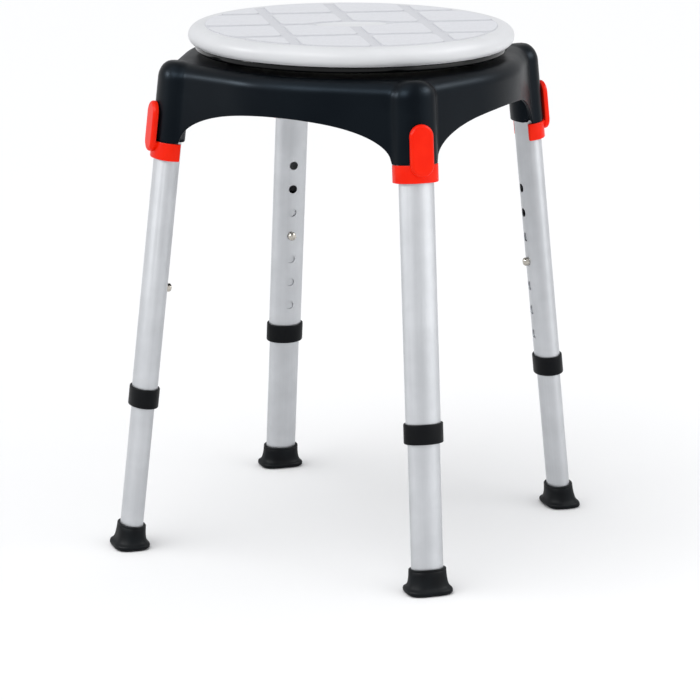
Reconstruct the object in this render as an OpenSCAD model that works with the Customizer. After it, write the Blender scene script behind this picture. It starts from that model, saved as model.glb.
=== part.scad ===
// Swivel shower stool with a round seat and four telescopic oval legs.
// Origin on the floor, under the middle of the seat. +Z is up, and the front is -Y.
// Each leg leans inwards. Along a leg, +X points outwards, Y runs round the stool and Z follows the tube.

/* [Seat] */
// Outer radius of the seat cover
seat_r = 156; // [150:1:162]
// Height of the sitting surface with the buttons in the middle holes
seat_top = 500; // [496:1:504]
// Height of the seat cover's lower edge
seat_edge_z = 481.5; // [480:0.5:483]
// Radius of the seat cover's lower edge
seat_edge_r = 150; // [147:1:151]
// Wall of the seat cover
seat_wall = 4; // [3:0.5:5]
// Distance from one groove to the next
groove_pitch = 72; // [64:1:76]
// Width of a groove
groove_w = 10; // [6:1:12]
// Depth of a groove
groove_depth = 1; // [0.5:0.25:1.5]
// Radius of the field of pads
groove_field_r = 140; // [130:1:142]
// Turn of the groove pattern about the vertical axis
groove_turn = 36; // [0:1:90]
// Half the length of the oval dish in the middle
dish_half_len = 33; // [25:1:40]

/* [Turntable] */
// Radius of the turntable's lip
turntable_r = 149; // [146:1:149.5]
// Underside of the turntable plate
turntable_z = 475.5; // [475:0.5:477]
// Radius of the turntable's spindle
spindle_r = 18; // [16:1:22]
// Radial running clearance of the spindle in the hub
spindle_clearance = 0.08; // [0.04:0.01:0.1]
// Shaft radius of the pivot bolt
bolt_r = 5; // [4:0.5:6]
// Number of screws that hold the seat cover
seat_screw_count = 6; // [4:1:8]
// Radius of the circle of seat screws
seat_screw_circle_r = 105; // [90:1:120]

/* [Base frame] */
// Top of the frame's deck
deck_z = 471; // [469:0.5:472]
// Radius of the frame midway between two legs
frame_r = 165; // [162:1:170]
// Rounding of the frame's shoulder
shoulder_r = 10; // [6:1:12]
// Wall of the frame
frame_wall = 3.5; // [3:0.25:4.5]
// Height of the skirt's lower edge midway between two legs
arch_z = 434.5; // [430:0.5:438]
// Half width of the arch at the bottom of the sockets
arch_half_w = 111; // [108:1:116]
// Radius of the slide ring's middle
slide_ring_r = 110; // [90:1:125]

/* [Legs] */
// Distance of a leg's axis from the stool's axis at the floor
leg_floor_r = 225.5; // [215:0.5:235]
// Lean of a leg from the vertical
leg_lean = 6.2; // [4:0.1:8]
// Half width of the upper tube round the stool
tube_a = 16.8; // [16:0.1:18]
// Half depth of the upper tube towards the stool's axis
tube_b = 12; // [11.5:0.1:13]
// Wall of both tubes
tube_wall = 1.1; // [1:0.1:1.4]
// Sliding gap between the tubes
tube_gap = 0.2; // [0.15:0.05:0.3]
// Distance between two height holes
hole_pitch = 25; // [25:1:26]
// Number of height holes
hole_count = 7; // [7:2:7]
// Distance of the middle hole from the floor along the leg
hole_mid = 257; // [250:1:260]
// Radius of a height hole
hole_r = 4.4; // [4.3:0.1:4.6]
// Radius of a snap button
button_r = 4.15; // [3.8:0.05:4.2]
// Distance that a button stands out of the upper tube
button_out = 5; // [4:0.5:6]

/* [Lock clips] */
// Half width of the clip's thumb tab
tab_half_w = 11.3; // [10:0.1:12]
// Length of the thumb tab
tab_len = 48; // [44:1:50]
// Radius of the peg that locks the leg
peg_r = 4; // [3:0.5:5]

/* [Feet] */
// Half width of a foot's base round the stool
foot_a = 22.5; // [21:0.5:25]
// Half depth of a foot's base towards the stool's axis
foot_b = 17.5; // [16:0.5:20]
// Height of a foot along the leg
foot_h = 23; // [22:1:28]

/* [Hidden] */
// Quarter turns put one leg in each corner
corners = ["back_right", "back_left", "front_left", "front_right"];
azimuths = [45, 135, 225, 315];
leg_parts = ["upper_tube", "tube_ring", "lock_clip", "lower_tube", "top_bush", "snap_button",
    "leaf_spring", "foot"];

curve_fn = 64;
oval_points = 48;
eps = 0.5;
white = "#e4e4e7";
black = "#1b1f23";
gloss_black = "#0c0e11";
orange = "#ff3a1c";
alloy = "#c6c8cb";
steel = "#a9a8a4";
rubber = "#16191c";

// Seat
rim_z = 489.5;
rim_in = 10;
rim_points = 8;
dish_half_w = 14.5;
dish_depth = 2.5;
ring_groove_len = 9;
ring_groove_w = 3.5;
screw_boss_r = 6;
screw_r = 2;
screw_head_r = 4;
screw_head_h = 2.4;
screw_len = 11;

// Turntable and pivot
running_gap = 0.3;
hub_bottom_z = 452;
hub_wall = 8;
hub_r = spindle_r + hub_wall;
rib_w = 3;
rib_h = 19;
bolt_head_r = 9;
bolt_head_h = 5;
bolt_clearance = 0.2;
washer_r = 25;
washer_h = 2.5;
nut_across = 17;
nut_h = 8;
bolt_tail = 3;
washer_z = hub_bottom_z - running_gap - washer_h;
nut_z = washer_z - nut_h;
bolt_end_z = nut_z - bolt_tail;
slide_ring_half_w = 9;

// Tubes along the leg
socket_h0 = 399;
socket_a = 20.9;
socket_b = 15;
socket_top = 475;
corner_r = 28;
corner_in = 22;
corner_round = 8;
corner_top = 465;
socket_bottom_z = socket_h0 * cos(leg_lean);
tube_fit = 0.1;
upper_h0 = 144;
upper_h1 = 466;
ring_h0 = 140.5;
ring_h1 = 159.5;
ring_wall = 2.2;
lower_a = tube_a - tube_wall - tube_gap;
lower_b = tube_b - tube_wall - tube_gap;
lower_h0 = 7;
lower_h1 = hole_mid + 38;
bush_plug = 14;
bush_cap = 3;

// Snap button and its spring
button_tip = tube_b + button_out;
button_flange_r = 6;
button_flange_h = 1.4;
button_flange_x = 8.2;
spring_w = 8;
spring_t = 0.7;
spring_drop = 34;

// Lock clip
clip_h0 = 382;
clip_a = 21.2;
clip_b = 15.6;
clip_fit = 0.3;
clip_arm_end = 6.5;
tab_h0 = 388;
tab_x = socket_b + 0.3;
tab_out = 20.5;
peg_h = 424;
peg_end = 7;
peg_clearance = 0.2;

// Foot
foot_top_a = 18;
foot_top_b = 13.4;
foot_corner_r = 10;
foot_base_h = 3;

// Points of an elliptic arc about (cx, cy) from angle a0 to a1
function arc_points(cx, cy, rx, ry, a0, a1, n) =
    [for (i = [0:n]) [cx + rx * cos(a0 + (a1 - a0) * i / n), cy + ry * sin(a0 + (a1 - a0) * i / n)]];

// An oval section with half depth b along X and half width a along Y
module oval(a, b) {
    step = 360 / oval_points;
    polygon([for (i = [0:oval_points - 1]) [b * cos(step * i), a * sin(step * i)]]);
}

// Places its children along the leg at an azimuth
module on_leg(azimuth) {
    rotate([0, 0, azimuth])
        translate([leg_floor_r, 0, 0])
            rotate([0, -leg_lean, 0])
                children();
}

// A round bar along the leg's X axis, from x0 to x1 at a distance h along the leg
module cross_bar(r, h, x0, x1) {
    translate([x0, 0, h])
        rotate([0, 90, 0])
            cylinder(r = r, h = x1 - x0, $fn = curve_fn);
}

// An oval tube section of outer half sizes a and b, from h0 to h1
module oval_tube(a, b, wall, h0, h1) {
    translate([0, 0, h0])
        linear_extrude(height = h1 - h0)
            difference() {
                oval(a, b);
                oval(a - wall, b - wall);
            }
}

module at_screws() {
    for (i = [0:seat_screw_count - 1])
        rotate([0, 0, 360 * i / seat_screw_count])
            translate([seat_screw_circle_r, 0, 0])
                children();
}

// ---- Seat group ----

module seat_outline() {
    polygon(concat(
        [[0, seat_edge_z]],
        arc_points(seat_edge_r, rim_z, seat_r - seat_edge_r, rim_z - seat_edge_z, -90, 0, rim_points),
        arc_points(seat_r - rim_in, rim_z, rim_in, seat_top - groove_depth - rim_z, 0, 90, rim_points),
        [[0, seat_top - groove_depth]]
    ));
}

// Raised pads, parted by grooves and an oval border round the dish
module pads() {
    difference() {
        translate([0, 0, seat_top - groove_depth - eps])
            cylinder(r = groove_field_r, h = groove_depth + eps, $fn = 2 * curve_fn);
        translate([0, 0, seat_top - 2])
            rotate([0, 0, groove_turn])
                linear_extrude(height = 3)
                    oval(dish_half_w + ring_groove_w, dish_half_len + ring_groove_len);
        rotate([0, 0, groove_turn])
            for (turn = [0, 90])
                rotate([0, 0, turn])
                    for (k = [-1, 0, 1])
                        translate([k * groove_pitch - groove_w / 2, -seat_r, seat_top - 2])
                            cube([groove_w, 2 * seat_r, 3]);
    }
}

module seat_cover() {
    cavity_r = turntable_r - seat_wall;
    cavity_top = seat_top - dish_depth - seat_wall;
    color(white)
        difference() {
            union() {
                rotate_extrude($fn = 2 * curve_fn)
                    seat_outline();
                pads();
            }
            translate([0, 0, seat_top - dish_depth])
                rotate([0, 0, groove_turn])
                    linear_extrude(height = dish_depth + eps)
                        oval(dish_half_w, dish_half_len);
            difference() {
                translate([0, 0, seat_edge_z - eps])
                    cylinder(r = cavity_r, h = cavity_top - seat_edge_z + eps, $fn = 2 * curve_fn);
                at_screws()
                    translate([0, 0, seat_edge_z - 2 * eps])
                        cylinder(r = screw_boss_r, h = cavity_top - seat_edge_z + 3 * eps, $fn = curve_fn);
            }
            at_screws()
                translate([0, 0, seat_edge_z - eps])
                    cylinder(r = screw_r, h = screw_len, $fn = curve_fn);
        }
}

module turntable_plate() {
    color(gloss_black)
        difference() {
            union() {
                translate([0, 0, turntable_z])
                    cylinder(r = turntable_r, h = seat_edge_z - turntable_z, $fn = 2 * curve_fn);
                translate([0, 0, hub_bottom_z - running_gap])
                    cylinder(r = spindle_r, h = turntable_z - hub_bottom_z + eps, $fn = curve_fn);
            }
            translate([0, 0, hub_bottom_z - 1])
                cylinder(r = bolt_r + bolt_clearance, h = seat_top - hub_bottom_z, $fn = curve_fn);
            at_screws()
                translate([0, 0, turntable_z - eps]) {
                    cylinder(r = screw_r, h = seat_edge_z - turntable_z + 2 * eps, $fn = curve_fn);
                    cylinder(r = screw_head_r, h = screw_head_h + eps, $fn = curve_fn);
                }
        }
}

module seat_screws() {
    color(steel)
        at_screws()
            difference() {
                translate([0, 0, turntable_z]) {
                    cylinder(r = screw_r, h = screw_len, $fn = curve_fn);
                    cylinder(r = screw_head_r, h = screw_head_h, $fn = curve_fn);
                }
                for (turn = [0, 90])
                    rotate([0, 0, turn])
                        translate([-2, -0.5, turntable_z - eps])
                            cube([4, 1, 1.2 + eps]);
            }
}

module pivot_bolt() {
    color(steel) {
        translate([0, 0, seat_edge_z])
            cylinder(r = bolt_head_r, h = bolt_head_h, $fn = 6);
        translate([0, 0, bolt_end_z])
            cylinder(r = bolt_r, h = seat_edge_z - bolt_end_z + eps, $fn = curve_fn);
    }
}

module pivot_washer() {
    color(steel)
        translate([0, 0, washer_z])
            difference() {
                cylinder(r = washer_r, h = washer_h, $fn = curve_fn);
                translate([0, 0, -eps])
                    cylinder(r = bolt_r + bolt_clearance, h = washer_h + 2 * eps, $fn = curve_fn);
            }
}

module pivot_nut() {
    color(steel)
        translate([0, 0, nut_z])
            difference() {
                cylinder(r = nut_across / 2 / cos(30), h = nut_h, $fn = 6);
                translate([0, 0, -eps])
                    cylinder(r = bolt_r, h = nut_h + 2 * eps, $fn = curve_fn);
            }
}

// ---- Base group ----

module slide_ring() {
    color("#d9d6cc")
        translate([0, 0, deck_z])
            difference() {
                cylinder(r = slide_ring_r + slide_ring_half_w, h = turntable_z - running_gap - deck_z,
                    $fn = 2 * curve_fn);
                translate([0, 0, -eps])
                    cylinder(r = slide_ring_r - slide_ring_half_w, h = turntable_z, $fn = 2 * curve_fn);
            }
}

// The frame's smooth body: a round deck drawn out over the four leg tops
module frame_form(inset) {
    skirt_h = deck_z - shoulder_r - arch_z + 1;
    post_r = corner_r - inset - corner_round;
    post_h = corner_top - corner_round - socket_h0 + 3 * inset;
    hull() {
        translate([0, 0, deck_z - shoulder_r])
            rotate_extrude($fn = 64)
                polygon(concat(
                    [[0, -skirt_h], [frame_r - inset, -skirt_h]],
                    arc_points(frame_r - shoulder_r, 0, shoulder_r - inset, shoulder_r - inset, 0, 90, 4),
                    [[0, shoulder_r - inset]]
                ));
        for (azimuth = azimuths)
            on_leg(azimuth)
                translate([-corner_in, 0, socket_h0 - 4 * inset])
                    rotate_extrude($fn = 32)
                        polygon(concat(
                            [[0, 0], [corner_r - inset, 0]],
                            arc_points(post_r, post_h, corner_round, corner_round, 0, 90, 3),
                            [[0, post_h + corner_round]]
                        ));
    }
}

// Oval pillar with a domed top, round the leg's upper end
module socket_pillar() {
    intersection() {
        translate([0, 0, socket_h0])
            linear_extrude(height = socket_top - socket_h0)
                oval(socket_a, socket_b);
        // Round outline as seen from outside
        union() {
            cross_bar(socket_a, socket_top - socket_a, -2 * socket_b, 2 * socket_b);
            translate([-2 * socket_b, -socket_a, socket_h0 - 1])
                cube([4 * socket_b, 2 * socket_a, socket_top - socket_a - socket_h0 + 1]);
        }
        // Round outline as seen along the skirt
        union() {
            rotate([0, 0, 90])
                cross_bar(socket_b, socket_top - socket_b, -2 * socket_a, 2 * socket_a);
            translate([-socket_b, -2 * socket_a, socket_h0 - 1])
                cube([2 * socket_b, 4 * socket_a, socket_top - socket_b - socket_h0 + 1]);
        }
    }
}

// Cuts one side of the skirt into an arch that faces the side's azimuth
module arch_cut(azimuth) {
    rise = arch_z - socket_bottom_z;
    rotate([0, 0, azimuth])
        translate([60, 0, socket_bottom_z])
            rotate([90, 0, 90])
                linear_extrude(height = frame_r)
                    polygon(concat(arc_points(0, 0, arch_half_w, rise, 0, 180, 24),
                        [[-arch_half_w, -60], [arch_half_w, -60]]));
}

module base_frame() {
    color(black)
        difference() {
            union() {
                difference() {
                    frame_form(0);
                    frame_form(frame_wall);
                    for (azimuth = azimuths)
                        arch_cut(azimuth + 45);
                }
                for (azimuth = azimuths)
                    on_leg(azimuth)
                        socket_pillar();
                for (azimuth = azimuths)
                    rotate([0, 0, azimuth])
                        translate([spindle_r + 1, -rib_w / 2, deck_z - rib_h])
                            cube([frame_r - 2 * spindle_r, rib_w, rib_h - 1]);
                translate([0, 0, hub_bottom_z])
                    cylinder(r = hub_r, h = deck_z - hub_bottom_z, $fn = curve_fn);
            }
            translate([0, 0, hub_bottom_z - 1])
                cylinder(r = spindle_r + spindle_clearance, h = deck_z, $fn = curve_fn);
            for (azimuth = azimuths)
                on_leg(azimuth) {
                    translate([0, 0, socket_h0 - 20])
                        linear_extrude(height = upper_h1 - socket_h0 + 20)
                            oval(tube_a + tube_fit, tube_b + tube_fit);
                    cross_bar(peg_r + peg_clearance, peg_h, 0, 3 * socket_b);
                    translate([-3 * socket_a, -3 * socket_a, socket_h0 - 40])
                        cube([6 * socket_a, 6 * socket_a, 40]);
                }
        }
}

module upper_tube(azimuth) {
    color(alloy)
        on_leg(azimuth)
            difference() {
                oval_tube(tube_a, tube_b, tube_wall, upper_h0, upper_h1);
                for (k = [0:hole_count - 1])
                    cross_bar(hole_r, hole_mid + (k - (hole_count - 1) / 2) * hole_pitch, -2 * tube_b, 0);
                cross_bar(peg_r + peg_clearance, peg_h, 0, 2 * tube_b);
            }
}

module tube_ring(azimuth) {
    color(black)
        on_leg(azimuth) {
            oval_tube(tube_a + ring_wall, tube_b + ring_wall, ring_wall, upper_h0, ring_h1);
            oval_tube(tube_a + ring_wall, tube_b + ring_wall, ring_wall + tube_wall, ring_h0, upper_h0);
        }
}

// The collar's U-shaped section, open towards the stool's axis
module collar_section() {
    slot_a = tube_a + clip_fit;
    slot_b = tube_b + clip_fit;
    polygon(concat(
        [[-clip_arm_end, -clip_a]],
        arc_points(0, 0, clip_b, clip_a, -90, 90, oval_points / 2),
        [[-clip_arm_end, clip_a], [-clip_arm_end, slot_a]],
        arc_points(0, 0, slot_b, slot_a, 90, -90, oval_points / 2),
        [[-clip_arm_end, -slot_a]]
    ));
}

// A bar along the leg's X axis from x0 to x1, with round ends of radius r about h0 and h1
module round_ended_bar(r, h0, h1, x0, x1) {
    translate([x0, 0, 0])
        rotate([90, 0, 90])
            linear_extrude(height = x1 - x0)
                polygon(concat(
                    arc_points(0, h1, r, r, 0, 180, oval_points / 4),
                    arc_points(0, h0, r, r, 180, 360, oval_points / 4)
                ));
}

module lock_clip(azimuth) {
    collar_top = socket_h0 - clip_fit;
    color(orange)
        on_leg(azimuth) {
            translate([0, 0, clip_h0])
                linear_extrude(height = collar_top - clip_h0)
                    collar_section();
            // Thumb tab
            round_ended_bar(tab_half_w, tab_h0 + tab_half_w, tab_h0 + tab_len - tab_half_w, tab_x, tab_out);
            // Root that joins the tab to the collar
            intersection() {
                round_ended_bar(tab_half_w - 1, tab_h0 + tab_half_w, collar_top, clip_b - 2.5, tab_x + 1);
                translate([0, -tab_half_w, tab_h0])
                    cube([2 * tab_out, 2 * tab_half_w, collar_top - tab_h0 - 1]);
            }
            // Locking peg
            cross_bar(peg_r, peg_h, peg_end, tab_out - 1);
        }
}

// ---- Height group, one set in each leg ----

module lower_tube(azimuth) {
    color(alloy)
        on_leg(azimuth)
            difference() {
                oval_tube(lower_a, lower_b, tube_wall, lower_h0, lower_h1);
                cross_bar(hole_r, hole_mid, -2 * lower_b, 0);
            }
}

module top_bush(azimuth) {
    color(black)
        on_leg(azimuth)
            difference() {
                union() {
                    translate([0, 0, lower_h1])
                        linear_extrude(height = bush_cap)
                            oval(lower_a, lower_b);
                    translate([0, 0, lower_h1 - bush_plug])
                        linear_extrude(height = bush_plug + eps)
                            oval(lower_a - tube_wall, lower_b - tube_wall);
                }
                translate([0, 0, lower_h1 - bush_plug - 1])
                    linear_extrude(height = bush_plug + bush_cap + 2)
                        oval(lower_a - 3 * tube_wall, lower_b - 3 * tube_wall);
            }
}

module snap_button(azimuth) {
    flange_x = -button_flange_x;
    color(steel)
        on_leg(azimuth) {
            cross_bar(button_r, hole_mid, -button_tip + 1.6, flange_x);
            // Domed tip
            intersection() {
                cross_bar(button_r, hole_mid, -button_tip, -button_tip + 2);
                translate([-button_tip + 6.2, 0, hole_mid])
                    sphere(r = 6.2, $fn = curve_fn);
            }
            cross_bar(button_flange_r, hole_mid, flange_x, flange_x + button_flange_h);
        }
}

// V-shaped strip: one arm rests on the tube's outer wall, the other carries the button
module leaf_spring(azimuth) {
    near_x = button_flange_h - button_flange_x;
    far_x = lower_b - tube_wall - 1;
    fold_x = far_x - 4;
    color(steel)
        on_leg(azimuth)
            translate([0, spring_w / 2, hole_mid])
                rotate([90, 0, 0])
                    linear_extrude(height = spring_w)
                        polygon([
                            [near_x, 7], [near_x, -7], [fold_x, -spring_drop], [far_x, -spring_drop],
                            [far_x, 7], [far_x - spring_t, 7], [far_x - spring_t, -spring_drop + spring_t],
                            [fold_x + spring_t, -spring_drop + spring_t], [near_x + spring_t, -7],
                            [near_x + spring_t, 7]
                        ]);
}

module foot(azimuth) {
    color(rubber)
        difference() {
            hull() {
                rotate([0, 0, azimuth])
                    translate([leg_floor_r, 0, 0])
                        linear_extrude(height = foot_base_h)
                            for (x = [-1, 1])
                                for (y = [-1, 1])
                                    translate([x * (foot_b - foot_corner_r), y * (foot_a - foot_corner_r)])
                                        circle(r = foot_corner_r, $fn = 32);
                on_leg(azimuth)
                    translate([0, 0, foot_h - 3])
                        linear_extrude(height = 3)
                            oval(foot_top_a, foot_top_b);
            }
            on_leg(azimuth)
                translate([0, 0, lower_h0])
                    linear_extrude(height = foot_h)
                        oval(lower_a, lower_b);
        }
}

seat_cover();
turntable_plate();
seat_screws();
pivot_bolt();
pivot_washer();
pivot_nut();
slide_ring();
base_frame();
for (i = [0:3]) {
    upper_tube(azimuths[i]);
    tube_ring(azimuths[i]);
    lock_clip(azimuths[i]);
    lower_tube(azimuths[i]);
    top_bush(azimuths[i]);
    snap_button(azimuths[i]);
    leaf_spring(azimuths[i]);
    foot(azimuths[i]);
}
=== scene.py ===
import math

import bmesh
import bpy
from mathutils import Matrix, Vector


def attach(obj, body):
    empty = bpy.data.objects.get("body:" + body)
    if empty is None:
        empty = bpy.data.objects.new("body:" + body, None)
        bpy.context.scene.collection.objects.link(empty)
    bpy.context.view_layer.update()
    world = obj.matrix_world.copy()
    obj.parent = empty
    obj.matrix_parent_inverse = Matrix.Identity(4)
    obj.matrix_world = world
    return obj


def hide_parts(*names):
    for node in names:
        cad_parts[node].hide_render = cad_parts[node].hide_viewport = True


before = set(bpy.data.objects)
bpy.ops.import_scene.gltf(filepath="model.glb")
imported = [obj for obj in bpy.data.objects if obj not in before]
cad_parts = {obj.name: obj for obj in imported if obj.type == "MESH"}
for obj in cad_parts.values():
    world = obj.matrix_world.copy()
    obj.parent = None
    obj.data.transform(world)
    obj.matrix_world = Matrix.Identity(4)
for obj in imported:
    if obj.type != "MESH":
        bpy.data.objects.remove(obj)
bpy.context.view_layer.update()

# ---- Camera ----
# A long lens stands a little above the seat, turned towards the front right leg, so that three
# sockets and the whole seat show. It leans down slightly to keep the feet in the picture.
view_turn = math.radians(26.022)
view_lift = math.radians(11.965)
view_lean = -0.037
view_roll = 0.004
view_distance = 3.2
view_target = Vector((0, 0, 0.3))

sideways = Vector((math.cos(view_turn), math.sin(view_turn), 0))
backward = Vector((math.sin(view_turn), -math.cos(view_turn), 0)) * math.cos(view_lift)
backward.z = math.sin(view_lift)
upward = backward.cross(sideways)
camera = bpy.data.objects.new("camera", bpy.data.cameras.new("camera"))
camera.data.lens = 169.47
camera.data.sensor_width = 36
camera.data.clip_end = 100
eye = view_target + backward * view_distance
lens_axis = (backward - upward * math.tan(view_lean)).normalized()
level_up = lens_axis.cross(sideways)
picture_x = sideways * math.cos(view_roll) + level_up * math.sin(view_roll)
picture_y = level_up * math.cos(view_roll) - sideways * math.sin(view_roll)
turn = Matrix((picture_x, picture_y, lens_axis)).transposed().to_4x4()
camera.matrix_world = Matrix.Translation(eye) @ turn
bpy.context.scene.collection.objects.link(camera)
bpy.context.scene.camera = camera
bpy.context.scene.view_settings.view_transform = "Standard"

# ---- Floor and light ----
# A matt white studio floor runs past the edge of the picture. The main light is broad and high in
# front, and a wide soft box stands on the right. Three more boxes only add highlights.
floor_half = 20
# The floor lies a hair under the feet, so that the two never share a plane
floor_drop = 0.0002


def linear(code):
    """A colour written as sRGB hex, as linear red, green, blue and alpha."""
    parts = [int(code[i : i + 2], 16) / 255 for i in (1, 3, 5)]
    return [c / 12.92 if c <= 0.04045 else ((c + 0.055) / 1.055) ** 2.4 for c in parts] + [1]


def add_node(tree, kind, values=None, links=None, **settings):
    """Adds a node, sets its properties and input values, and links its inputs to other outputs."""
    node = tree.nodes.new(kind)
    for key, value in settings.items():
        setattr(node, key, value)
    for key, value in (values or {}).items():
        node.inputs[key].default_value = value
    for key, source in (links or {}).items():
        tree.links.new(source, node.inputs[key])
    return node


def new_finish(name, **sockets):
    """A material with its one shader set up. Returns the material, its node tree and the shader."""
    material = bpy.data.materials.new(name)
    material.use_nodes = True
    tree = material.node_tree
    shader = tree.nodes["Principled BSDF"]
    for key, value in sockets.items():
        shader.inputs[key.replace("_", " ")].default_value = value
    return material, tree, shader


studio_white, tree, shader = new_finish(
    "studio_floor_paint", Base_Color=linear("#fbfbfb"), Roughness=0.9, Specular_IOR_Level=0.1
)
floor_bm = bmesh.new()
bmesh.ops.create_grid(floor_bm, x_segments=1, y_segments=1, size=floor_half)
bmesh.ops.translate(floor_bm, verts=floor_bm.verts, vec=(0, 0, -floor_drop))
floor_mesh = bpy.data.meshes.new("floor")
floor_bm.to_mesh(floor_mesh)
floor_bm.free()
floor = bpy.data.objects.new("floor", floor_mesh)
floor_mesh.materials.append(studio_white)
bpy.context.scene.collection.objects.link(floor)

room = bpy.data.worlds.new("room")
bpy.context.scene.world = room
room.use_nodes = True
room.node_tree.nodes["Background"].inputs["Color"].default_value = linear("#fafbfd")
room.node_tree.nodes["Background"].inputs["Strength"].default_value = 0.72


def add_light(name, kind, place, aim, energy, **settings):
    """A light at a place in metres, turned towards another."""
    lamp = bpy.data.lights.new(name, kind)
    lamp.energy = energy
    for key, value in settings.items():
        setattr(lamp, key, value)
    holder = bpy.data.objects.new(name, lamp)
    facing = (Vector(aim) - Vector(place)).to_track_quat("-Z", "Y")
    holder.matrix_world = Matrix.Translation(place) @ facing.to_matrix().to_4x4()
    bpy.context.scene.collection.objects.link(holder)
    return holder


add_light("main", "SUN", (-0.8, -1.6, 3.4), (0, 0, 0), 1.2, angle=math.radians(60))
add_light("right", "AREA", (2.3, 0.1, 0.9), (0, 0, 0.3), 12, shape="RECTANGLE", size=1.9, size_y=1.8)
for name, place, energy, size, size_y in (
    ("front", (-0.2, -1.9, 1.75), 45, 1.5, 0.7),
    ("back_right", (1.8, 0.6, 1.7), 45, 1.3, 0.7),
    ("left", (-1.45, -1.0, 1.1), 22, 0.3, 0.3),
):
    box = add_light(name, "AREA", place, (0, 0, 0.46), energy, shape="RECTANGLE", size=size, size_y=size_y)
    box.visible_diffuse = False

# ---- Feet ----
# Each foot is one injection-moulded rubber cap, pushed over the end of the lower tube. Its base is
# a flat rounded rectangle with a swollen edge, and its collar grips the tube.
corners = {"back_right": 45, "back_left": 135, "front_left": 225, "front_right": 315}
leg_floor_r = 225.5
leg_lean = math.radians(6.2)
lower_a, lower_b, lower_h0 = 15.5, 10.7, 7
oval_points = 96
# Height along the leg, half width, half depth, squareness and tilt, from the floor up and back inside
foot_sections = [
    (0.0, 18.6, 13.6, 3.4, 1),
    (0.15, 20.4, 15.4, 3.4, 1),
    (0.8, 21.6, 16.6, 3.4, 1),
    (2.0, 22.3, 17.3, 3.4, 1),
    (3.4, 22.35, 17.35, 3.4, 1),
    (4.6, 22.0, 17.0, 3.4, 0.95),
    (5.3, 21.3, 16.3, 3.3, 0.9),
    (5.8, 20.5, 15.5, 3.2, 0.85),
    (6.6, 19.9, 15.0, 3.0, 0.8),
    (8.0, 19.3, 14.5, 2.8, 0.7),
    (10.0, 18.8, 14.1, 2.6, 0.5),
    (13.0, 18.4, 13.75, 2.4, 0.3),
    (17.0, 18.1, 13.5, 2.25, 0.1),
    (20.4, 18.0, 13.35, 2.2, 0),
    (20.8, 17.7, 13.05, 2.2, 0),
    (21.2, 18.0, 13.35, 2.2, 0),
    (22.4, 17.9, 13.25, 2.2, 0),
    (22.85, 17.5, 12.9, 2.2, 0),
    (23.0, 17.0, 12.4, 2.15, 0),
    (22.9, 16.0, 11.3, 2.05, 0),
    (22.2, lower_a + 0.05, lower_b + 0.05, 2, 0),
    (lower_h0, lower_a + 0.05, lower_b + 0.05, 2, 0),
]


def oval_ring(bm, h, a, b, squareness=2, tilt=0):
    """A loop of edges at h along a leg. Its half width a lies round the stool and its half depth b
    outwards. A squareness of 2 is a plain oval, and a tilt of 1 lays it level."""
    ring = bmesh.ops.create_circle(bm, cap_ends=False, segments=oval_points, radius=1)["verts"]
    power = 2 / squareness
    for v in ring:
        x = math.copysign(abs(v.co.x) ** power, v.co.x) * b
        y = math.copysign(abs(v.co.y) ** power, v.co.y) * a
        v.co = (x, y, h - tilt * x * math.tan(leg_lean))
    return list({e for v in ring for e in v.link_edges})


def oval_wall(bm, sections, closed=False):
    """A skin over oval sections in turn. Its ends are filled, or joined to each other if closed."""
    rings = [oval_ring(bm, *section) for section in sections]
    for one, other in zip(rings, rings[1:]):
        bmesh.ops.bridge_loops(bm, edges=one + other)
    if closed:
        bmesh.ops.bridge_loops(bm, edges=rings[-1] + rings[0])
    else:
        bmesh.ops.edgeloop_fill(bm, edges=rings[0])
        bmesh.ops.edgeloop_fill(bm, edges=rings[-1])
    bmesh.ops.recalc_face_normals(bm, faces=bm.faces)


def on_leg(azimuth):
    """From millimetres outwards, round the stool and along a leg, to the stool's metres."""
    place = Matrix.Rotation(math.radians(azimuth), 4, "Z") @ Matrix.Translation((leg_floor_r / 1000, 0, 0))
    return place @ Matrix.Rotation(-leg_lean, 4, "Y") @ Matrix.Scale(0.001, 4)


def set_down(name, bm, place, body, finishes, nodes, sharp=35):
    """Makes a piece from a mesh in millimetres, puts it in its place and hands it to its body.
    Keeps each point's own millimetres as own_mm, for patterns that follow the piece."""
    mesh = bpy.data.meshes.new(name)
    bm.to_mesh(mesh)
    own = mesh.attributes.new("own_mm", "FLOAT_VECTOR", "POINT")
    own.data.foreach_set("vector", [c for v in mesh.vertices for c in v.co])
    mesh.transform(place)
    mesh.polygons.foreach_set("use_smooth", [True] * len(mesh.polygons))
    mesh.set_sharp_from_angle(angle=math.radians(sharp))
    piece = bpy.data.objects.new(name, mesh)
    for finish in finishes:
        mesh.materials.append(finish)
    bpy.context.scene.collection.objects.link(piece)
    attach(piece, body)
    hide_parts(*nodes)


def on_each_leg(name, bm, body, finishes, node, sharp=35):
    """Sets a piece down on all four legs. body and node are the words before the corner's name."""
    for corner, azimuth in corners.items():
        rides_on = "base" if body == "base" else f"{body}_{corner}"
        piece, replaced = f"{name}_{corner}", [f"{node}_{corner}"]
        set_down(piece, bm, on_leg(azimuth), rides_on, finishes, replaced, sharp)


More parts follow.
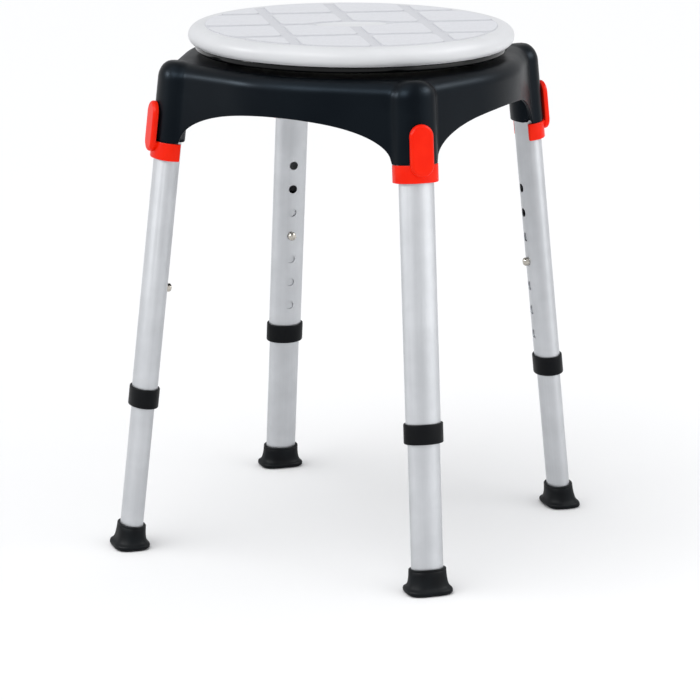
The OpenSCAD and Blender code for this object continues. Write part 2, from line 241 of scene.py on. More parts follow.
def add_grain(tree, shader, grain_mm, depth_mm, strength, source="Object"):
    """A fine bumpy skin, as a spark-eroded mould leaves. Returns the noise that makes it."""
    if source == "Object":
        where, scale = add_node(tree, "ShaderNodeTexCoord").outputs["Object"], 1000 / grain_mm
    else:
        where = add_node(tree, "ShaderNodeAttribute", attribute_name=source).outputs["Vector"]
        scale = 1 / grain_mm
    noise = add_node(
        tree,
        "ShaderNodeTexNoise",
        {"Scale": scale, "Detail": 2.0, "Roughness": 0.55},
        {"Vector": where},
    )
    bump = add_node(
        tree,
        "ShaderNodeBump",
        {"Strength": strength, "Distance": depth_mm / 1000},
        {"Height": noise.outputs["Fac"]},
    )
    tree.links.new(bump.outputs["Normal"], shader.inputs["Normal"])
    return noise


def grey(level):
    """A roughness written as a colour."""
    return (level, level, level, 1)


def vary(tree, shader, socket, pattern, low, high):
    """Lets a noise pattern move one of the shader's inputs between two colours or two greys. Noise
    keeps close to its middle, so the whole change falls between 0.35 and 0.65 of it."""
    ramp = add_node(tree, "ShaderNodeValToRGB", links={"Fac": pattern.outputs["Fac"]})
    bottom, top = ramp.color_ramp.elements
    bottom.position, bottom.color = 0.35, low
    top.position, top.color = 0.65, high
    tree.links.new(ramp.outputs["Color"], shader.inputs[socket])


def add_clouding(tree, shader, size_mm, codes, roughnesses):
    """Slow changes of shade and shine over the surface, as handling and cooling leave."""
    where = add_node(tree, "ShaderNodeAttribute", attribute_name="own_mm").outputs["Vector"]
    cloud = add_node(tree, "ShaderNodeTexNoise", {"Scale": 1 / size_mm, "Detail": 3.0}, {"Vector": where})
    vary(tree, shader, "Base Color", cloud, *map(linear, codes))
    vary(tree, shader, "Roughness", cloud, *map(grey, roughnesses))


# Moulded rubber is nearly black and dull, with a soft sheen on its curves. Its fine grain is drawn
# at 0.9 mm so that it shows.
rubber, tree, shader = new_finish("moulded_rubber", Specular_IOR_Level=0.1)
add_clouding(tree, shader, 14, ("#090b0e", "#0e1215"), (0.42, 0.54))
add_grain(tree, shader, 0.9, 0.12, 0.35, "own_mm")
foot_bm = bmesh.new()
oval_wall(foot_bm, foot_sections)
on_each_leg("rubber_foot", foot_bm, "lower_leg", [rubber], "foot", 50)
foot_bm.free()

# ---- Lower tubes ----
# The lower part of each leg is an oval aluminium extrusion, cut to length and satin anodised. One
# drilled hole near its top lets the snap button through, and a plastic bush guides its end.
tube_wall = 1.1
hole_mid, hole_r, hole_pitch = 257, 4.4, 25
lower_h1 = 295
bar_points = 48


def tube_sections(a, b, h0, h1):
    """Round the wall of an oval tube, with both rims broken by 0.25 mm."""
    edge, inner = 0.25, tube_wall
    return [
        (h0, a - edge, b - edge),
        (h0 + edge, a, b),
        (h1 - edge, a, b),
        (h1, a - edge, b - edge),
        (h1, a - inner + edge, b - inner + edge),
        (h1 - edge, a - inner, b - inner),
        (h0 + edge, a - inner, b - inner),
        (h0, a - inner + edge, b - inner + edge),
    ]


def add_bar(bm, r, h, x0, x1):
    """A round bar along a leg's outward direction, from x0 to x1 at h along the leg."""
    laid = Matrix.Translation(((x0 + x1) / 2, 0, h)) @ Matrix.Rotation(math.pi / 2, 4, "Y")
    bmesh.ops.create_cone(
        bm, cap_ends=True, segments=bar_points, radius1=r, radius2=r, depth=abs(x1 - x0), matrix=laid
    )


def cut_away(bm, tool):
    """What is left of bm when tool is taken out of it."""
    solids = []
    for label, made in (("blank", bm), ("tool", tool)):
        mesh = bpy.data.meshes.new(label)
        made.to_mesh(mesh)
        solids.append(bpy.data.objects.new(label, mesh))
        bpy.context.scene.collection.objects.link(solids[-1])
    cut = solids[0].modifiers.new("cut", "BOOLEAN")
    cut.operation, cut.solver, cut.object = "DIFFERENCE", "EXACT", solids[1]
    bpy.context.view_layer.update()
    left = bmesh.new()
    left.from_object(solids[0], bpy.context.evaluated_depsgraph_get())
    for solid in solids:
        bpy.data.objects.remove(solid)
    bm.free()
    tool.free()
    return left


# Satin anodising gives a soft grey metal. The die leaves lines along the tube that are far finer
# than a millimetre, and they are drawn 1.2 mm apart so that they just show.
alloy, tree, shader = new_finish("satin_anodised_aluminium", Metallic=1.0)
where = add_node(tree, "ShaderNodeAttribute", attribute_name="own_mm").outputs["Vector"]
lengthwise = add_node(tree, "ShaderNodeMapping", {"Scale": (1 / 1.2, 1 / 1.2, 1 / 180)}, {"Vector": where})
lines = add_node(
    tree, "ShaderNodeTexNoise", {"Scale": 1.0, "Detail": 2.0}, {"Vector": lengthwise.outputs["Vector"]}
)
haze = add_node(tree, "ShaderNodeTexNoise", {"Scale": 1 / 30, "Detail": 3.0}, {"Vector": where})
vary(tree, shader, "Base Color", haze, linear("#b9bbbe"), linear("#c1c3c6"))
vary(tree, shader, "Roughness", lines, grey(0.42), grey(0.5))
bump = add_node(
    tree, "ShaderNodeBump", {"Strength": 0.12, "Distance": 0.00005}, {"Height": lines.outputs["Fac"]}
)
tree.links.new(bump.outputs["Normal"], shader.inputs["Normal"])

lower_bm = bmesh.new()
oval_wall(lower_bm, tube_sections(lower_a, lower_b, lower_h0, lower_h1), closed=True)
drill = bmesh.new()
add_bar(drill, hole_r, hole_mid, -2 * lower_b, 0)
lower_bm = cut_away(lower_bm, drill)
on_each_leg("lower_leg_tube", lower_bm, "lower_leg", [alloy], "lower_tube")
lower_bm.free()

# Injection-moulded nylon is black with a low sheen and an even, very fine grain, drawn at 0.7 mm so
# that it shows
nylon, tree, shader = new_finish(
    "moulded_black_nylon", Base_Color=linear("#0a0c0f"), Specular_IOR_Level=0.1
)
grain = add_grain(tree, shader, 0.7, 0.06, 0.3)
vary(tree, shader, "Roughness", grain, grey(0.36), grey(0.5))

# ---- Snap buttons and leaf springs ----
# A turned steel button with a domed end is riveted to a folded spring-steel strip inside the lower
# tube. The spring pushes it out through the holes of both tubes.
button_r, button_tip, dome_h = 4.15, 17, 2.4
flange_r, flange_x, flange_h, flange_edge = 6, 8.2, 1.4, 0.3


def repaint(nodes, finish):
    """Gives a finish to parts that keep their own shape."""
    for node in nodes:
        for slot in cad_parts[node].material_slots:
            slot.material = finish


def turned(profile, steps):
    """A shape turned about Z from (radius, height) points. Ends on the axis close to a point, and a
    profile that comes back to its start makes a ring."""
    bm = bmesh.new()
    points = [bm.verts.new((r, 0, z)) for r, z in profile]
    edges = [bm.edges.new(pair) for pair in zip(points, points[1:])]
    bmesh.ops.spin(
        bm, geom=points + edges, axis=(0, 0, 1), cent=(0, 0, 0), angle=math.tau, steps=steps, use_merge=True
    )
    bmesh.ops.remove_doubles(bm, verts=bm.verts, dist=0.0001)
    bmesh.ops.recalc_face_normals(bm, faces=bm.faces)
    return bm


def arc(r0, z0, rx, rz, start, end, steps):
    """Points on an elliptic arc about (r0, z0), with its angles in degrees."""
    turns = [math.radians(start + (end - start) * i / steps) for i in range(steps + 1)]
    return [(r0 + rx * math.cos(t), z0 + rz * math.sin(t)) for t in turns]


# Nickel plating is a warm, fairly bright metal, with slight wear that dulls it in patches 3 mm wide
nickel, tree, shader = new_finish("nickel_plated_steel", Base_Color=linear("#b9b4ab"), Metallic=1.0)
add_grain(tree, shader, 0.8, 0.02, 0.2)
patches = add_node(
    tree,
    "ShaderNodeTexNoise",
    {"Scale": 1000 / 3},
    {"Vector": add_node(tree, "ShaderNodeTexCoord").outputs["Object"]},
)
vary(tree, shader, "Roughness", patches, grey(0.18), grey(0.34))

button_bm = turned(
    [(0, flange_x - flange_h), (flange_r - flange_edge, flange_x - flange_h)]
    + [(flange_r, flange_x - flange_h + flange_edge), (flange_r, flange_x - flange_edge)]
    + [(flange_r - flange_edge, flange_x), (button_r + flange_edge, flange_x)]
    + [(button_r, flange_x + flange_edge), (button_r, button_tip - dome_h)]
    + arc(0, button_tip - dome_h, button_r, dome_h, 12, 90, 10),
    48,
)
bmesh.ops.transform(
    button_bm,
    matrix=Matrix.Translation((0, 0, hole_mid)) @ Matrix.Rotation(-math.pi / 2, 4, "Y"),
    verts=button_bm.verts,
)
on_each_leg("button", button_bm, "button", [nickel], "snap_button")
button_bm.free()
repaint([f"leaf_spring_{corner}" for corner in corners], nickel)
repaint([f"top_bush_{corner}" for corner in corners], nylon)

# ---- Upper tubes ----
# The upper part of each leg is the same kind of extrusion, one size larger. Seven holes on the side
# that faces inwards set the height, and one on the outside takes the lock clip's peg.
tube_a, tube_b = 16.8, 12
upper_h0, upper_h1 = 144, 466
peg_h, peg_r, peg_clearance = 424, 4, 0.2

upper_bm = bmesh.new()
oval_wall(upper_bm, tube_sections(tube_a, tube_b, upper_h0, upper_h1), closed=True)
drill = bmesh.new()
for step in range(-3, 4):
    add_bar(drill, hole_r, hole_mid + step * hole_pitch, -2 * tube_b, 0)
add_bar(drill, peg_r + peg_clearance, peg_h, 0, 2 * tube_b)
upper_bm = cut_away(upper_bm, drill)
on_each_leg("upper_leg_tube", upper_bm, "base", [alloy], "upper_tube")
upper_bm.free()

# ---- Tube rings ----
# A moulded nylon ring is pressed over the lower end of each upper tube. It covers the cut edge and
# closes in round the lower tube to stop it rattling.
ring_h0, ring_h1, ring_wall = 140.5, 159.5, 2.2
ring_a, ring_b = tube_a + ring_wall, tube_b + ring_wall
mouth_a, mouth_b = lower_a + 0.2, lower_b + 0.2

ring_bm = bmesh.new()
oval_wall(
    ring_bm,
    [
        (ring_h0, ring_a - 1.2, ring_b - 1.2),
        (ring_h0 + 0.25, ring_a - 0.5, ring_b - 0.5),
        (ring_h0 + 0.8, ring_a - 0.1, ring_b - 0.1),
        (ring_h0 + 1.4, ring_a, ring_b),
        (ring_h1 - 1.2, ring_a, ring_b),
        (ring_h1 - 0.5, ring_a - 0.15, ring_b - 0.15),
        (ring_h1 - 0.1, ring_a - 0.5, ring_b - 0.5),
        (ring_h1, ring_a - 0.9, ring_b - 0.9),
        (ring_h1 - 0.1, ring_a - 1.3, ring_b - 1.3),
        (ring_h1 - 1.1, tube_a + 0.05, tube_b + 0.05),
        (upper_h0 - 0.05, tube_a + 0.05, tube_b + 0.05),
        (upper_h0 - 0.05, mouth_a, mouth_b),
        (ring_h0 + 0.4, mouth_a, mouth_b),
        (ring_h0, mouth_a + 0.4, mouth_b + 0.4),
    ],
    closed=True,
)
on_each_leg("tube_end_ring", ring_bm, "base", [nylon], "tube_ring")
ring_bm.free()

# ---- Base frame ----
# The frame is one large injection moulding in black polypropylene: a round deck whose skirt is
# drawn out over four leg sockets and cut away in arches between them, with a hub and ribs inside.
deck_z, frame_r, shoulder, skin = 471, 165, 13, 3.5
post_r, post_in = 28, 22
socket_a, socket_b, socket_h0, socket_top, dome = 20.9, 15, 399, 475, 17
arch_top_z, arch_half = 434.5, 111
arch_foot_z = socket_h0 * math.cos(leg_lean)
hub_z, hub_r, bore_r = 452, 26, 18.08
columns = 480
lip = 0.8
mould_line = 0.08
outer_fillet, inner_fillet = 4, 3
# The frame's skins are found with rays. Those round the shoulder start at these radii and heights,
# and those to the skirt run level from skirt_ray_r.
outer_ray_r, outer_ray_z, inner_ray_r, inner_ray_z = 150, 455, 146, 452
skirt_ray_r = 120
outer_rows, skirt_rows, inner_rows = 28, 22, 14


def body_gap(r, off, z, wall):
    """How far a point is outside the frame's round body, with its drawn-out corners. A wall makes
    the body that much smaller all round."""
    post_x = leg_floor_r - z * math.tan(leg_lean) - post_in
    large, small = frame_r - wall, post_r - wall
    along, aside = r * math.cos(off), abs(r * math.sin(off))
    slope = (large - small) / post_x
    level = math.sqrt(1 - slope * slope)
    share = level * along - slope * aside
    if share < 0:
        plan = math.hypot(along, aside) - large
    elif share > level * post_x:
        plan = math.hypot(along - post_x, aside) - small
    else:
        plan = slope * along + level * aside - large
    rounding = shoulder - wall
    out, over = plan + rounding, z - (deck_z - shoulder)
    return min(max(out, over), 0) + math.hypot(max(out, 0), max(over, 0)) - rounding


def pillar_gap(r, off, z):
    """How far a point is outside the domed oval pillar that holds a leg."""
    x = r * math.cos(off) - leg_floor_r
    outward = x * math.cos(leg_lean) + z * math.sin(leg_lean)
    h = z * math.cos(leg_lean) - x * math.sin(leg_lean)
    out = math.hypot(outward * socket_a / socket_b, r * math.sin(off)) - (socket_a - dome)
    over = h - (socket_top - dome)
    return min(max(out, over), 0) + math.hypot(max(out, 0), max(over, 0)) - dome


def blend(one, other, width):
    """The smaller of two distances, with a fillet where they are nearly equal."""
    near = max(width - abs(one - other), 0) / width
    return min(one, other) - near * near * width / 4


def outside(r, off, z):
    """How far a point is outside the frame. A fine mould line runs down the middle of each socket."""
    gap = blend(body_gap(r, off, z, 0), pillar_gap(r, off, z), outer_fillet)
    return gap - (mould_line if off < 0.001 else 0)


def inside(r, off, z):
    """How far a point is outside the hollow under the frame, in which the pillars stand."""
    return -blend(-body_gap(r, off, z, skin), pillar_gap(r, off, z), inner_fillet)


def reach(gap, off, r, z, rise):
    """Where a ray from (r, z), rising at an angle, first leaves the space in which gap is negative."""
    step_r, step_z = math.cos(rise), math.sin(rise)
    far = 0
    while gap(r + far * step_r, off, z + far * step_z) < 0:
        far += 2
    near = far - 2
    for _ in range(16):
        middle = (near + far) / 2
        if gap(r + middle * step_r, off, z + middle * step_z) < 0:
            near = middle
        else:
            far = middle
    return r + far * step_r, z + far * step_z


def skirt_bottom(gap, off):
    """The radius and height of the skirt's lower edge: an arch, or the flat end of a socket. The
    radius depends on the height, so the two are worked out in turn until they settle."""
    z = 420
    for _ in range(8):
        r = reach(gap, off, skirt_ray_r, z, 0)[0]
        outward = r * math.cos(off) - leg_floor_r
        socket_z = (socket_h0 + outward * math.sin(leg_lean)) / math.cos(leg_lean)
        across = min(r * math.sin(math.pi / 4 - off) / arch_half, 1)
        arch_z = arch_foot_z + (arch_top_z - arch_foot_z) * math.sqrt(1 - across * across)
        z = max(socket_z, arch_z)
    return r, z


def frame_section(off):
    """The frame cut through at an angle off a leg: over the deck, down the skirt, up inside it and
    round the hub."""
    under = deck_z - skin
    cut = [(bore_r + lip, deck_z)] + [(r, deck_z) for r in (30, 60, 95, 125, 142, 148)]
    for i in range(outer_rows + 1):
        rise = math.radians(90 - 90 * i / outer_rows)
        cut.append(reach(outside, off, outer_ray_r, outer_ray_z, rise))
    edge_r, edge_z = skirt_bottom(outside, off)
    for i in range(1, skirt_rows + 1):
        z = outer_ray_z + (edge_z + lip - outer_ray_z) * i / skirt_rows
        cut.append(reach(outside, off, skirt_ray_r, z, 0))
    cut += [(edge_r - 0.23 * lip, edge_z + 0.3 * lip), (edge_r - lip, edge_z)]
    edge_r, edge_z = skirt_bottom(inside, off)
    cut += [(edge_r + lip, edge_z), (edge_r + 0.23 * lip, edge_z + 0.3 * lip)]
    for i in range(inner_rows + 1):
        z = edge_z + lip + (inner_ray_z - edge_z - lip) * i / inner_rows
        cut.append(reach(inside, off, skirt_ray_r, z, 0))
    for i in range(1, inner_rows + 1):
        cut.append(reach(inside, off, inner_ray_r, inner_ray_z, math.radians(90 * i / inner_rows)))
    cut += [(r, under) for r in (142, 120, 90, 60, 36, hub_r + 3)]
    cut += arc(hub_r + 2, under - 2, 2, 2, 120, 180, 3)
    cut += [(hub_r, hub_z + lip), (hub_r - lip, hub_z), (bore_r + lip, hub_z), (bore_r, hub_z + lip)]
    return cut + [(bore_r, deck_z - lip)]


frame_bm = bmesh.new()
row_of = frame_bm.verts.layers.int.new("row")
loop = []
for row, (r, z) in enumerate(frame_section(math.pi / 4)):
    loop.append(frame_bm.verts.new((r, 0, z)))
    loop[-1][row_of] = row
edges = [frame_bm.edges.new(pair) for pair in zip(loop, loop[1:] + loop[:1])]
bmesh.ops.spin(
    frame_bm,
    geom=loop + edges,
    axis=(0, 0, 1),
    cent=(0, 0, 0),
    angle=math.tau,
    steps=columns,
    use_merge=True,
)
bmesh.ops.remove_doubles(frame_bm, verts=frame_bm.verts, dist=0.0001)
# The columns are drawn together at the sockets, where the shape changes fastest
sections = {}
for v in frame_bm.verts:
    turn = math.atan2(v.co.y, v.co.x)
    turn -= 0.15 * math.sin(4 * turn - math.pi)
    off = round(abs(turn % (math.pi / 2) - math.pi / 4), 7)
    if off not in sections:
        sections[off] = frame_section(off)
    r, z = sections[off][v[row_of]]
    v.co = (r * math.cos(turn), r * math.sin(turn), z)
bmesh.ops.recalc_face_normals(frame_bm, faces=frame_bm.faces)


def take_in(bm, part_bm):
    """Adds one mesh to another and frees it."""
    part = bpy.data.meshes.new("part")
    part_bm.to_mesh(part)
    bm.from_mesh(part)
    part_bm.free()


bores = bmesh.new()
for azimuth in corners.values():
    bore = bmesh.new()
    oval_wall(bore, [(380, tube_a + 0.1, tube_b + 0.1), (upper_h1, tube_a + 0.1, tube_b + 0.1)])
    add_bar(bore, peg_r + peg_clearance, peg_h, tube_b - 1, 3 * socket_b)
    bmesh.ops.transform(bore, matrix=Matrix.Scale(1000, 4) @ on_leg(azimuth), verts=bore.verts)
    take_in(bores, bore)
frame_bm = cut_away(frame_bm, bores)

# A rib runs from the hub towards each socket, sunk into the deck and shallower at its outer end
rib_w, rib_h, rib_r0, rib_r1, rib_taper, rib_sunk = 3, 19, 20, 148, 5, 1.5
for azimuth in corners.values():
    rib = bmesh.ops.create_cube(frame_bm, size=1)["verts"]
    for v in rib:
        end = rib_r1 if v.co.x > 0 else rib_r0
        low = deck_z - rib_h + (rib_taper if v.co.x > 0 else 0)
        v.co = (end, v.co.y * rib_w, deck_z - rib_sunk if v.co.z > 0 else low)
    turn = Matrix.Rotation(math.radians(azimuth), 3, "Z")
    bmesh.ops.rotate(frame_bm, verts=rib, cent=(0, 0, 0), matrix=turn)

# Moulded polypropylene is a bluish black with a low satin sheen, broken by a fine eroded grain.
# The real grain is about 0.3 mm, and is drawn at 0.9 mm so that it shows.
black_plastic, tree, shader = new_finish(
    "moulded_black_polypropylene", Specular_IOR_Level=0.11, Specular_Tint=linear("#c0dcf4")
)
add_clouding(tree, shader, 45, ("#04060a", "#070a0e"), (0.35, 0.42))
add_grain(tree, shader, 0.9, 0.05, 0.25)
to_metres = Matrix.Scale(0.001, 4)
set_down(
    "frame_moulding",
    frame_bm,
    to_metres,
    "base",
    [black_plastic],
    ["base_frame"],
    32,
)
frame_bm.free()

# ---- Lock clips ----
# Each clip is an orange ABS moulding: a collar that snaps round the tube under the socket, and a
# thumb tab over the socket's outside. Its peg passes through the socket's wall into the tube.
clip_h0, clip_h1, clip_a, clip_b, clip_arm = 382, 398.7, 21.2, 15.6, 6.5
clip_gap = 0.3
tab_half, tab_h0, tab_len, tab_x, tab_out = 11.3, 388, 48, 15.3, 20.5
peg_in, peg_edge = 7, 0.8
# How close a point has to be to a plane to count as on it
on_plane = 0.01


def pull_out(bm, faces, move):
    """Extrudes faces by a move."""
    grown = bmesh.ops.extrude_face_region(bm, geom=faces)["geom"]
    moved = [g for g in grown if isinstance(g, bmesh.types.BMVert)]
    bmesh.ops.translate(bm, verts=moved, vec=move)


def slice_mesh(bm, at, facing, **settings):
    """Cuts a mesh along a plane."""
    everything = bm.verts[:] + bm.edges[:] + bm.faces[:]
    return bmesh.ops.bisect_plane(bm, geom=everything, plane_co=at, plane_no=facing, **settings)


def add_pill(bm, r, h0, h1, x0, x1):
    """A bar along a leg's outward direction, from x0 to x1, with round ends about h0 and h1."""
    circle = bmesh.ops.create_circle(bm, cap_ends=True, segments=64, radius=r)["verts"]
    half_step = Matrix.Rotation(math.pi / 64, 3, "Z")
    for v in circle:
        flat = half_step @ v.co
        v.co = (x0, flat.x, flat.y + (h1 if flat.y > 0 else h0))
    pull_out(bm, [circle[0].link_faces[0]], (x1 - x0, 0, 0))


def soften(bm, edges, width, steps):
    """Rounds edges over."""
    bmesh.ops.bevel(
        bm,
        geom=edges,
        offset=width,
        segments=steps,
        profile=0.5,
        affect="EDGES",
        material=-1,
        clamp_overlap=True,
    )


collar = bmesh.new()
outer = oval_ring(collar, clip_h0, clip_a, clip_b)
inner = oval_ring(collar, clip_h0, tube_a + clip_gap, tube_b + clip_gap)
bmesh.ops.bridge_loops(collar, edges=outer + inner)
slice_mesh(collar, (0, 0, 0), (-1, 0, 0), dist=0.001, clear_outer=True)
ends = [e for e in collar.edges if all(abs(v.co.x) < on_plane for v in e.verts)]
arms = bmesh.ops.extrude_edge_only(collar, edges=ends)["geom"]
arms = [g for g in arms if isinstance(g, bmesh.types.BMVert)]
bmesh.ops.translate(collar, verts=arms, vec=(-clip_arm, 0, 0))
pull_out(collar, collar.faces[:], (0, 0, clip_h1 - clip_h0))
bmesh.ops.recalc_face_normals(collar, faces=collar.faces)
upright = [e for e in collar.edges if all(v.co.x < on_plane - clip_arm for v in e.verts)]
upright = [e for e in upright if abs(e.verts[0].co.z - e.verts[1].co.z) > 1]
soften(collar, upright, 1.2, 4)
for height, width, steps in ((clip_h0, 1.0, 4), (clip_h1, 0.5, 3)):
    rims = [e for e in collar.edges if e.calc_face_angle(0) > 1.2]
    rims = [e for e in rims if all(abs(v.co.z - height) < on_plane for v in e.verts)]
    soften(collar, rims, width, steps)

tab = bmesh.new()
add_pill(tab, tab_half, tab_h0 + tab_half, tab_h0 + tab_len - tab_half, tab_x, tab_out)
soften(tab, [e for e in tab.edges if all(v.co.x < tab_x + on_plane for v in e.verts)], 0.5, 2)
soften(tab, [e for e in tab.edges if all(v.co.x > tab_out - on_plane for v in e.verts)], 2.7, 5)
front = max(tab.faces, key=lambda f: f.calc_center_median().x)
bmesh.ops.inset_region(tab, faces=[front], thickness=0.4)
# The tab's root goes down into the collar, and ends just under the socket
root = bmesh.new()
add_pill(root, tab_half - 1, tab_h0 + tab_half, clip_h1, clip_b - 2.5, tab_x + 1)
cut = slice_mesh(root, (0, 0, clip_h1 - 1), (0, 0, 1), dist=0.001, clear_outer=True)
bmesh.ops.edgeloop_fill(root, edges=[g for g in cut["geom_cut"] if isinstance(g, bmesh.types.BMEdge)])
peg = turned(
    [(0, peg_in)]
    + arc(peg_r - peg_edge, peg_in + peg_edge, peg_edge, peg_edge, -90, 0, 4)
    + [(peg_r, tab_out - 1), (0, tab_out - 1)],
    48,
)
bmesh.ops.transform(
    peg, matrix=Matrix.Translation((0, 0, peg_h)) @ Matrix.Rotation(math.pi / 2, 4, "Y"), verts=peg.verts
)
clip_bm = bmesh.new()
for part_bm in (collar, tab, root, peg):
    bmesh.ops.recalc_face_normals(part_bm, faces=part_bm.faces)
    take_in(clip_bm, part_bm)

# Moulded ABS in a strong orange-red with a satin skin, whose grain is drawn at 1 mm so that it shows
orange_abs, tree, shader = new_finish("moulded_orange_abs", Specular_IOR_Level=0.1)
add_clouding(tree, shader, 16, ("#f21e03", "#f72405"), (0.3, 0.38))
add_grain(tree, shader, 1.0, 0.03, 0.2, "own_mm")
on_each_leg("orange_clip", clip_bm, "clip", [orange_abs], "lock_clip", 40)
clip_bm.free()

# ---- Slide ring ----
# A flat ring of natural acetal, cut from sheet, lies on the deck. The turning seat would land on it
# if the frame bent under a load.
acetal, tree, shader = new_finish("natural_acetal", Specular_IOR_Level=0.4)
sheet_grain = add_grain(tree, shader, 1.2, 0.03, 0.2)
vary(tree, shader, "Base Color", sheet_grain, linear("#d5d2c8"), linear("#dedbd2"))
vary(tree, shader, "Roughness", sheet_grain, grey(0.3), grey(0.42))
repaint(["slide_ring"], acetal)

# ---- Turntable ----
# The turntable is a round plate in glossy black ABS, moulded with a long spindle that runs in the
# frame's hub. Six screws pass up through it into the seat.
plate_r, plate_z0, plate_z1, spindle_r, bolt_hole_r = 149, 475.5, 481.5, 18, 5.2
screw_circle_r, screw_r, screw_head_r, screw_head_h = 105, 2, 4, 2.4
screw_turns = [i * math.pi / 3 for i in range(6)]
screw_places = [
    Vector((screw_circle_r * math.cos(t), screw_circle_r * math.sin(t), 0)) for t in screw_turns
]
disc_steps = 256

plate_bm = turned(
    [(bolt_hole_r, hub_z - 0.3), (spindle_r - 0.8, hub_z - 0.3), (spindle_r, hub_z + 0.5)]
    + [(spindle_r, plate_z0), (60, plate_z0), (100, plate_z0), (140, plate_z0)]
    + arc(plate_r - 2.2, plate_z0 + 2.2, 2.2, 2.2, -90, 0, 8)
    + arc(plate_r - 1.2, plate_z1 - 1.2, 1.2, 1.2, 0, 90, 6)
    + [(140, plate_z1), (60, plate_z1), (bolt_hole_r, plate_z1), (bolt_hole_r, hub_z - 0.3)],
    disc_steps,
)
drill = bmesh.new()
for out in screw_places:
    for r, top in ((screw_r, plate_z1 + 1), (screw_head_r, plate_z0 + screw_head_h)):
        middle = Matrix.Translation(out + Vector((0, 0, (plate_z0 - 1 + top) / 2)))
        bmesh.ops.create_cone(
            drill, cap_ends=True, segments=32, radius1=r, radius2=r, depth=top - plate_z0 + 1, matrix=middle
        )
plate_bm = cut_away(plate_bm, drill)

# Polished-mould ABS mirrors the light softly and is otherwise a deep black
gloss_black, tree, shader = new_finish("glossy_black_abs", Specular_IOR_Level=0.22)
add_clouding(tree, shader, 30, ("#030405", "#060708"), (0.1, 0.16))
add_grain(tree, shader, 6, 0.03, 0.15)
set_down(
    "turntable_moulding",
    plate_bm,
    to_metres,
    "seat",
    [gloss_black],
    ["turntable_plate"],
)
plate_bm.free()

# ---- Pivot bolt, washer and nut ----
# A zinc-plated bolt goes down through the spindle. A wide washer under the hub and a nut keep the
# seat from lifting off while it turns.

# Zinc plating is a cool, dull silver with a faint patchy bloom
zinc, tree, shader = new_finish("zinc_plated_steel", Metallic=1.0)
bloom = add_grain(tree, shader, 2.5, 0.03, 0.25)
vary(tree, shader, "Base Color", bloom, linear("#9fa0a0"), linear("#b4b3ac"))
vary(tree, shader, "Roughness", bloom, grey(0.28), grey(0.45))
repaint(["pivot_bolt", "pivot_washer", "pivot_nut"], zinc)

# ---- Seat cover ----
# The seat is a shallow white polypropylene moulding that caps the turntable. Low grained pads stand
# between drainage grooves, with an oval dish in the middle and a smooth rolled rim.
seat_r, seat_edge_r, seat_edge_z, rim_z, rim_in = 156, 150, 481.5, 489.5, 10
pad_top, groove_depth, groove_pitch, groove_w = 500, 1, 72, 10
pad_field_r, dish_depth = 140, 2.5
dish_half_len, dish_half_w, border_half_len, border_half_w = 33, 14.5, 42, 18
dish_lip, oval_fade_r = 0.8, 64
groove_turn = math.radians(36)
groove_steps = (-1, 0, 1)
cavity_r, cavity_top = 145, 493.5
base_z, dish_z = pad_top - groove_depth, pad_top - dish_depth

seat_bm = turned(
    [(0, dish_z), (10, dish_z), (20, dish_z), (25, dish_z + 0.1), (29, dish_z + 0.45), (31.8, dish_z + 1)]
    + [(dish_half_len, base_z - 0.15), (dish_half_len + dish_lip, base_z), (38, base_z), (48, base_z)]
    + [(oval_fade_r, base_z), (90, base_z), (pad_field_r, base_z), (144, base_z)]
    + arc(seat_r - rim_in, rim_z, rim_in, base_z - rim_z, 90, 0, 12)
    + arc(seat_edge_r, rim_z, seat_r - seat_edge_r, rim_z - seat_edge_z - 0.8, 0, -70, 8)
    + [(seat_edge_r + 1.2, seat_edge_z + 0.35), (seat_edge_r + 0.5, seat_edge_z)]
    + [(seat_edge_r - 1, seat_edge_z), (cavity_r, seat_edge_z), (cavity_r, cavity_top)]
    + [(90, cavity_top), (0, cavity_top)],
    disc_steps,
)

# The flat groove floors take the third finish, which is painted darker as painted shade in the grooves
for f in seat_bm.faces:
    middle = f.calc_center_median()
    if f.normal.z > 0.99 and middle.z > base_z - on_plane and middle.to_2d().length < pad_field_r:
        f.material_index = 2
# The round dish is narrowed across its middle until it is oval, less and less out to the pads
turn_to_grooves = Matrix.Rotation(groove_turn, 3, "Z")
for v in seat_bm.verts:
    r = v.co.to_2d().length
    if v.co.z > cavity_top + 0.1 and r < oval_fade_r:
        share = min(max((oval_fade_r - r) / (oval_fade_r - dish_half_len - dish_lip), 0), 1)
        along = turn_to_grooves.inverted() @ v.co
        along.y *= 1 - share * (1 - dish_half_w / dish_half_len)
        v.co = turn_to_grooves @ along

# The pads start as one flat ring, which is cut along both edges of every groove
pads_bm = bmesh.new()
circles = []
for half_len, half_w in ((pad_field_r, pad_field_r), (border_half_len, border_half_w)):
    circle = bmesh.ops.create_circle(pads_bm, cap_ends=False, segments=192, radius=1)["verts"]
    for v in circle:
        v.co = turn_to_grooves @ Vector((v.co.x * half_len, v.co.y * half_w, 0))
    circles += {e for v in circle for e in v.link_edges}
bmesh.ops.bridge_loops(pads_bm, edges=circles)
directions = [Vector((math.cos(groove_turn + t), math.sin(groove_turn + t), 0)) for t in (0, math.pi / 2)]
for across in directions:
    for k in groove_steps:
        for side in (-1, 1):
            at = across * (k * groove_pitch + side * groove_w / 2)
            slice_mesh(pads_bm, at, across, dist=0.0001)


def in_groove(face):
    """Whether a face's middle lies in a groove."""
    middle = face.calc_center_median()
    return any(
        abs(middle.dot(d) - k * groove_pitch) < groove_w / 2 for d in directions for k in groove_steps
    )


bmesh.ops.delete(pads_bm, geom=[f for f in pads_bm.faces if in_groove(f)], context="FACES")
bmesh.ops.dissolve_limit(
    pads_bm,
    angle_limit=math.radians(0.4),
    verts=pads_bm.verts[:],
    edges=pads_bm.edges[:],
    use_dissolve_boundaries=False,
)


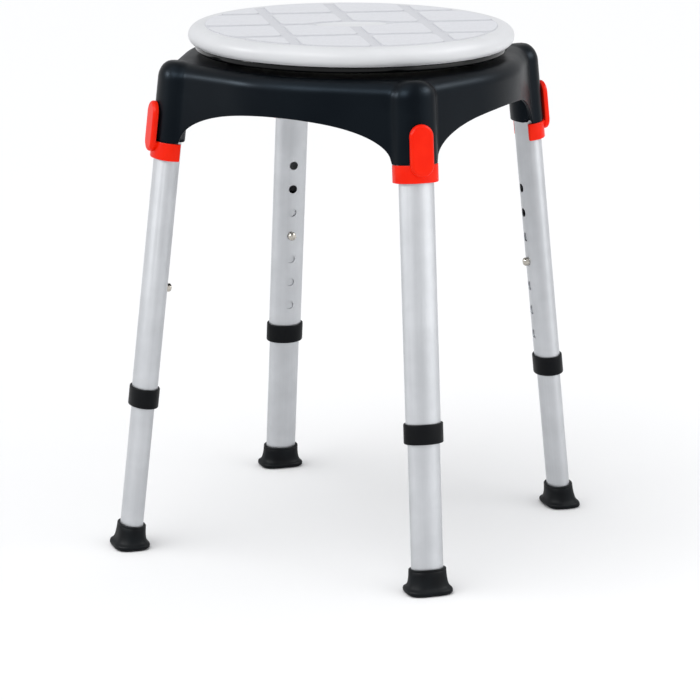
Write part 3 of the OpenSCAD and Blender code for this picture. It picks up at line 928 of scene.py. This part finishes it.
def turning(v):
    """How sharply a pad's outline turns at a point."""
    one, other = (e.other_vert(v).co - v.co for e in v.link_edges)
    return math.pi - one.angle(other)


# Points beside a corner are taken out first, so that it has room to be rounded
pad_corner, corner_turn = 6.5, math.radians(14)
pad_sunk, pad_edge = 0.6, 0.8
sharp = [v for v in pads_bm.verts if turning(v) > corner_turn]
others = [v for v in pads_bm.verts if v not in sharp]
close_by = [v for v in others if any((v.co - s.co).length < pad_corner + 1 for s in sharp)]
bmesh.ops.dissolve_verts(pads_bm, verts=close_by)
sharp = [v for v in pads_bm.verts if turning(v) > corner_turn]
bmesh.ops.bevel(
    pads_bm,
    geom=sharp,
    offset=pad_corner,
    offset_type="OFFSET",
    segments=7,
    profile=0.5,
    affect="VERTICES",
    material=-1,
    clamp_overlap=True,
)
bmesh.ops.translate(pads_bm, verts=pads_bm.verts, vec=(0, 0, base_z - pad_sunk))
pull_out(pads_bm, pads_bm.faces[:], (0, 0, groove_depth + pad_sunk))
bmesh.ops.recalc_face_normals(pads_bm, faces=pads_bm.faces)
rims = [e for e in pads_bm.edges if all(v.co.z > pad_top - on_plane for v in e.verts)]
soften(pads_bm, rims, pad_edge, 3)
tops = [f for f in pads_bm.faces if f.normal.z > 0.99 and f.calc_center_median().z > pad_top - on_plane]
bmesh.ops.inset_individual(pads_bm, faces=tops, thickness=0.6)
# Pad tops take the pad finish. The pads' bevelled and upright sides take the darker groove finish, as
# painted shade that damps their highlights.
for f in pads_bm.faces:
    f.material_index = 1 if f.normal.z > 0.99 else 2

# Each screw goes up into a boss, which stands from the cover's underside to the turntable
boss_r, boss_sunk = 6, 0.5
bosses = []
for out in screw_places:
    profile = [(screw_r, seat_edge_z), (boss_r, seat_edge_z)]
    profile += [(boss_r, cavity_top + boss_sunk), (screw_r, cavity_top + boss_sunk)]
    boss = turned(profile, 32)
    bmesh.ops.holes_fill(boss, edges=[e for e in boss.edges if e.is_boundary])
    bmesh.ops.translate(boss, verts=boss.verts, vec=out)
    bosses.append(boss)
for part_bm in [pads_bm] + bosses:
    take_in(seat_bm, part_bm)

# Moulded white polypropylene is a cool, slightly translucent white. The rim and the dish come
# smooth from the mould and have a soft sheen.
white_rim, tree, shader = new_finish("smooth_white_polypropylene", Specular_IOR_Level=0.3)
add_clouding(tree, shader, 60, ("#d7d8da", "#dcdddf"), (0.42, 0.5))
add_grain(tree, shader, 1.4, 0.02, 0.15)
# The pads are grained for grip, so they are duller and a little greyer than the rim. The real
# grain is about 0.4 mm, and is drawn at 1.3 mm so that it shows.
white_pads, tree, shader = new_finish("grained_white_polypropylene", Specular_IOR_Level=0.2)
add_clouding(tree, shader, 3, ("#d7d8dc", "#dddee2"), (0.55, 0.66))
add_grain(tree, shader, 1.3, 0.05, 0.3)
# The grooves and the pads' sloping sides are painted a little darker than the pads as painted shade. They
# are also rougher, which dulls them.
groove_white_painted_shade, tree, shader = new_finish("matt_white_polypropylene_painted_shade", Specular_IOR_Level=0.1)
add_clouding(tree, shader, 5, ("#cdced2", "#d1d2d6"), (0.7, 0.8))
add_grain(tree, shader, 1.8, 0.04, 0.2)
set_down(
    "seat_moulding",
    seat_bm,
    to_metres,
    "seat",
    [white_rim, white_pads, groove_white_painted_shade],
    ["seat_cover"],
)
seat_bm.free()

# ---- Seat screws ----
# Six zinc-plated pan-head screws with cross slots, driven up through the turntable into bosses
# under the seat.
repaint(["seat_screws"], zinc)
